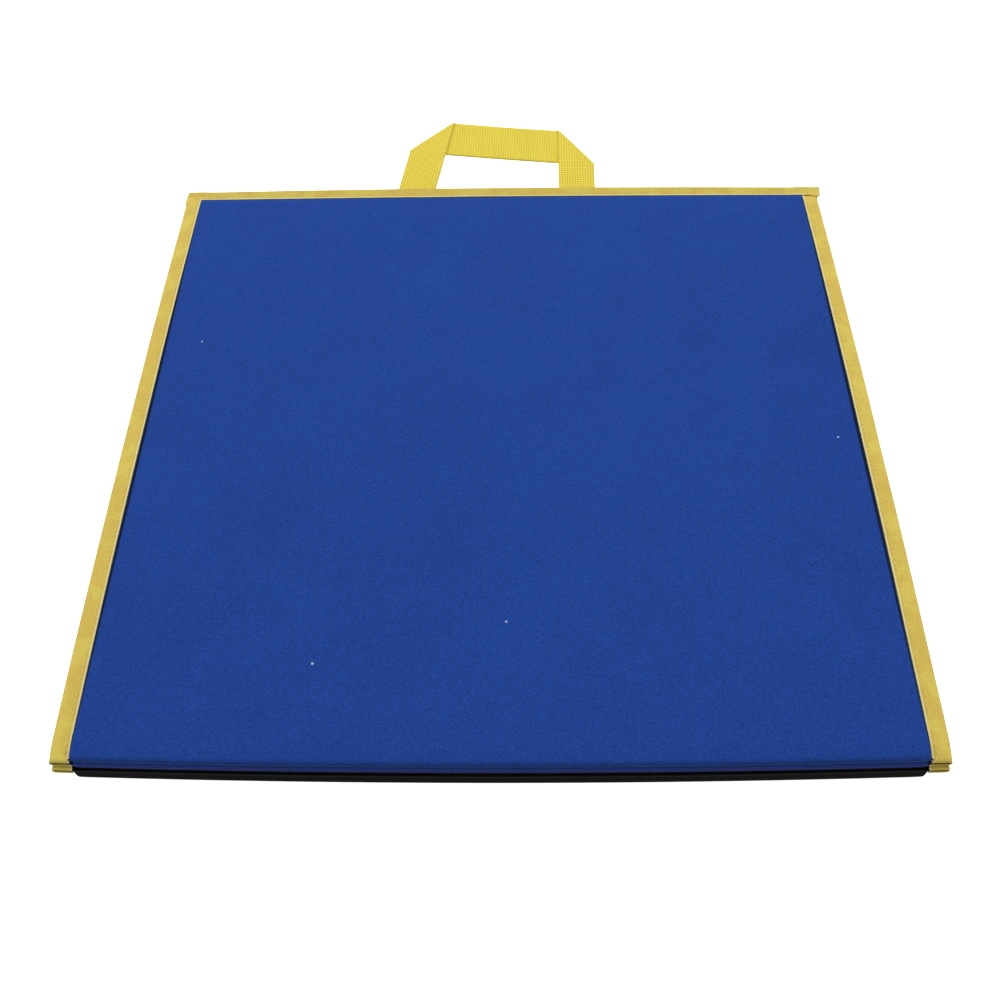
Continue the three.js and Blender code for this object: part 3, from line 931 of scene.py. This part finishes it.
def stitchTree():
    # Lays one stitch at each step along a line, turned to follow it.
    tree = bpy.data.node_groups.new("running stitch", "GeometryNodeTree")
    sockets = [
        ("Geometry", "NodeSocketGeometry", None), ("Pitch", "NodeSocketFloat", 3.5 * mm),
        ("Stitch Length", "NodeSocketFloat", 2.7 * mm), ("Thread", "NodeSocketFloat", 0.6 * mm),
        ("Unevenness", "NodeSocketFloat", 0.08), ("Seed", "NodeSocketInt", 1),
        ("Finish", "NodeSocketMaterial", None),
    ]
    for name, kind, value in sockets:
        socket = tree.interface.new_socket(name, in_out="INPUT", socket_type=kind)
        if value is not None:
            socket.default_value = value
    tree.interface.new_socket("Geometry", in_out="OUTPUT", socket_type="NodeSocketGeometry")
    nodes, links = tree.nodes, tree.links

    def add(kind, settings=None, **wires):
        made = nodes.new(kind)
        for key, value in (settings or {}).items():
            setattr(made, key, value)
        for key, value in wires.items():
            numbered = key[0] == "i" and key[1:].isdigit()
            target = made.inputs[int(key[1:]) if numbered else key.replace("_", " ")]
            if isinstance(value, bpy.types.NodeSocket):
                links.new(value, target)
            else:
                target.default_value = value
        return made

    given = nodes.new("NodeGroupInput").outputs
    line = add("GeometryNodeMeshToCurve", Mesh=given["Geometry"])
    byLength = {"mode": "LENGTH"}
    spaced = add("GeometryNodeResampleCurve", byLength, Curve=line.outputs[0], Length=given["Pitch"])
    ball = add("GeometryNodeMeshUVSphere", Segments=8, Rings=5, Radius=0.5)
    size = add("ShaderNodeCombineXYZ", X=given["Stitch Length"], Y=given["Thread"], Z=given["Thread"])
    stitch = add("GeometryNodeTransform", Geometry=ball.outputs[0], Scale=size.outputs[0])
    smooth = add("GeometryNodeSetShadeSmooth", Geometry=stitch.outputs[0])
    tangent = add("GeometryNodeInputTangent")
    along = add("FunctionNodeAlignRotationToVector", {"axis": "X"}, Vector=tangent.outputs[0])
    spread = add("ShaderNodeMath", {"operation": "MULTIPLY"}, i0=given["Unevenness"], i1=-1.0)
    turnSpread = add(
        "FunctionNodeRandomValue", {"data_type": "FLOAT"}, i2=spread.outputs[0],
        i3=given["Unevenness"], Seed=given["Seed"],
    )
    turned = add("FunctionNodeAxisAngleToRotation", Axis=(0, 0, 1), Angle=turnSpread.outputs[1])
    local = {"rotation_space": "LOCAL"}
    both = add("FunctionNodeRotateRotation", local, i0=along.outputs[0], i1=turned.outputs[0])
    least = add("ShaderNodeMath", {"operation": "SUBTRACT"}, i0=1.0, i1=given["Unevenness"])
    sizes = add(
        "FunctionNodeRandomValue", {"data_type": "FLOAT"}, i2=least.outputs[0], i3=1.0, Seed=given["Seed"],
    )
    placed = add(
        "GeometryNodeInstanceOnPoints", Points=spaced.outputs[0], Instance=smooth.outputs[0],
        Rotation=both.outputs[0], Scale=sizes.outputs[1],
    )
    real = add("GeometryNodeRealizeInstances", Geometry=placed.outputs[0])
    dressed = add("GeometryNodeSetMaterial", Geometry=real.outputs[0], Material=given["Finish"])
    out = nodes.new("NodeGroupOutput")
    links.new(dressed.outputs[0], out.inputs[0])
    return tree


runningStitch = stitchTree()
threadLook = {"Pitch": 3.5 * mm, "Stitch Length": 2.8 * mm, "Thread": 0.62 * mm, "Unevenness": 0.07}


def makeStitches(name, lines, finish, slot, replaced, seed, **changes):
    # Lines are runs of points that the thread follows.
    points, edges = [], []
    for line in lines:
        first = len(points)
        points += [tuple(p) for p in line]
        edges += [(first + i, first + i + 1) for i in range(len(line) - 1)]
    mesh = bpy.data.meshes.new(name)
    mesh.from_pydata(points, edges, [])
    row = bpy.data.objects.new(name, mesh)
    bpy.context.scene.collection.objects.link(row)
    sewn = row.modifiers.new("sewn", "NODES")
    sewn.node_group = runningStitch
    values = {**threadLook, "Seed": seed, "Finish": finish, **changes}
    for item in runningStitch.interface.items_tree:
        if item.in_out == "INPUT" and item.name in values:
            sewn[item.identifier] = values[item.name]
    settle(row)
    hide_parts(*replaced)
    return row


def bendOut(piece, panel):
    # Bakes the piece's placement into its mesh, the same for both panels.
    if panel["turn"] > 0:
        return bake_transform(piece)
    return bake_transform(piece)


def makePanel(panel, finish, frontThread, frontSlot):
    name = panel["name"]
    pieces = [makeCover(panel, finish), makeLining(panel)]
    for side, word in ((-1, "left"), (1, "right")):
        pieces.append(makeSideTape(panel, side))
        y = np.linspace(-halfDepth + panel["tapeSetBack"] + 2 * mm, foldY - 1.5 * mm, 220)
        out = np.full_like(y, tapeLook["stitchIn"])
        rows = []
        for share, raised in ((1.0, 0.45), (0.0, -0.18)):
            line = sideTapeSurface(panel, side, y, out, np.full_like(y, share))
            line[:, 2] += panel["turn"] * raised * mm
            rows.append(line)
        stitched = [f"{name}_{word}_tape_stitching"]
        seed = 7 + side + 3 * panel["turn"]
        thread = finishes["paleThread"]
        pieces.append(makeStitches(f"{name}_{word}_thread", rows, thread, "pale_thread", stitched, seed))
    foam = makeFoam(panel)
    paint(foam, finishes["foam"])
    foam.data.shade_smooth()
    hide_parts(name + "_foam")
    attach(foam, panel["body"])
    x = np.linspace(-shape["rollFoot"] + 5 * mm, shape["rollFoot"] - 5 * mm, 200)
    y = np.full_like(x, -halfDepth + 0.3 * mm)
    row = world(panel, x, y, np.full_like(x, 1.5 * mm))
    front = makeStitches(
        name + "_front_thread", [row], frontThread, frontSlot, [name + "_front_stitching"], 21,
        Thread=0.55 * mm,
    )
    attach(front, panel["body"])
    for piece in pieces:
        bendOut(piece, panel)
    print(name, "panel made")


makePanel(upper, finishes["blue"], finishes["blueThread"], "blue_thread")
makePanel(lower, finishes["black"], finishes["blackThread"], "black_thread")

hingeTape = makeHingeTape()
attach(hingeTape, "hinge")
x = np.linspace(-halfWidth, halfWidth + 2 * mm, 260)
out = np.full_like(x, tapeLook["stitchIn"])
hingeRows = []
for share, raised in ((1.0, 0.42), (0.0, -0.42)):
    line = hingeTapeSurface(x, out, np.full_like(x, share))
    line[:, 2] += raised * mm
    hingeRows.append(line)
hingeThread = makeStitches(
    "hinge_thread", hingeRows, finishes["paleThread"], "pale_thread", ["hinge_tape_stitching"], 41,
)
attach(hingeThread, "hinge")
print("hinge tape made")

strap, legs = makeStrap()
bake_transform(strap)
boxLook = {
    "halfLong": 10 * mm,
    "halfHigh": 2.4 * mm,
    "behind": 5.4 * mm,
    "pitch": 2.6 * mm,
    "length": 2.1 * mm,
}
boxCorners = ((-1, -1), (1, -1), (1, 1), (-1, 1), (-1, -1))
for number, (leg, word) in enumerate(zip(legs, ("left", "right"))):
    middle = (leg["edges"][0] + leg["edges"][1]) / 2 - leg["ahead"] * boxLook["behind"]
    side = np.array([leg["ahead"][1], -leg["ahead"][0]])
    long, high = side * boxLook["halfLong"], leg["ahead"] * boxLook["halfHigh"]
    corners = [middle + long * a + high * b for a, b in boxCorners]
    runs = [np.linspace(a, b, 12)[:-1] for a, b in zip(corners, corners[1:])]
    flat = np.concatenate(runs + [[corners[-1]]])
    boxRow = strapPlane(flat, np.full(len(flat), strapLook["thick"] / 2 + 0.1 * mm))
    name = f"handle_{word}_tab"
    sewn = makeStitches(
        name + "_thread", [boxRow], finishes["paleThread"], "pale_thread", [name + "_stitching"], 51 + number,
        Pitch=boxLook["pitch"], **{"Stitch Length": boxLook["length"]},
    )
    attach(sewn, "hinge")
print("handle made")

# Floor, light and camera.
stageLook = {"floor": (0.93, 0.93, 0.93, 1), "world": 0.53, "key": 26.0, "glow": 0.85}

floorMesh = bpy.data.meshes.new("floor")
floorMesh.from_pydata([(-6, -6, 0), (6, -6, 0), (6, 6, 0), (-6, 6, 0)], [], [(0, 1, 2, 3)])
floor = bpy.data.objects.new("floor", floorMesh)
floor.location.z = -0.2 * mm
floor.visible_diffuse = False  # it doesn't light the pad from below
bpy.context.scene.collection.objects.link(floor)
floorFinish = Finish("studio floor")
floorCloud = floorFinish.grain(floorFinish.place(), 3.0, 2.0) * 0.01 + 0.99
floorFinish.finished(
    floorFinish.shaded(stageLook["floor"], floorCloud), 0.9, specularIorLevel=0.0,
    emissionColor=(1, 1, 1, 1), emissionStrength=stageLook["glow"],
)
paint(floor, floorFinish.material)

studio = bpy.data.worlds.new("studio")
bpy.context.scene.world = studio
studio.use_nodes = True
sky = studio.node_tree.nodes["Background"]
sky.inputs["Color"].default_value = (1, 1, 1, 1)
sky.inputs["Strength"].default_value = stageLook["world"]

softbox = bpy.data.lights.new("soft box", "AREA")
softbox.shape = "RECTANGLE"
softbox.size, softbox.size_y = 2.0, 1.6
softbox.energy = stageLook["key"]
softboxStand = bpy.data.objects.new("soft box", softbox)
softboxPlace = (0.0, 0.7, 1.7)
softboxStand.location = softboxPlace
softboxStand.rotation_mode = "QUATERNION"
softboxStand.rotation_quaternion = Vector(softboxPlace).to_track_quat("Z", "Y")
bpy.context.scene.collection.objects.link(softboxStand)

viewLook = {
    "lens": 43.58,
    "place": (0.00928, -0.48647, 0.56955),
    "pitch": 52.51,
    "yaw": -1.205,
    "roll": -1.276,
}


def placeCamera(look):
    pitch, yaw, roll = (math.radians(look[key]) for key in ("pitch", "yaw", "roll"))
    ahead = Vector((math.sin(yaw) * math.cos(pitch), math.cos(yaw) * math.cos(pitch), -math.sin(pitch)))
    right = Vector((math.cos(yaw), -math.sin(yaw), 0))
    up = right.cross(ahead)
    turnedRight = math.cos(roll) * right + math.sin(roll) * up
    turnedUp = math.cos(roll) * up - math.sin(roll) * right
    camera = bpy.data.cameras.new("camera")
    camera.lens, camera.sensor_width = look["lens"], 36
    camera.clip_start = 0.01
    stand = bpy.data.objects.new("camera", camera)
    facing = Matrix((turnedRight, turnedUp, -ahead)).transposed().to_4x4()
    stand.matrix_world = Matrix.Translation(look["place"]) @ facing
    bpy.context.scene.collection.objects.link(stand)
    bpy.context.scene.camera = stand


placeCamera(viewLook)
bpy.context.scene.view_settings.view_transform = "Standard"
print("stage set")
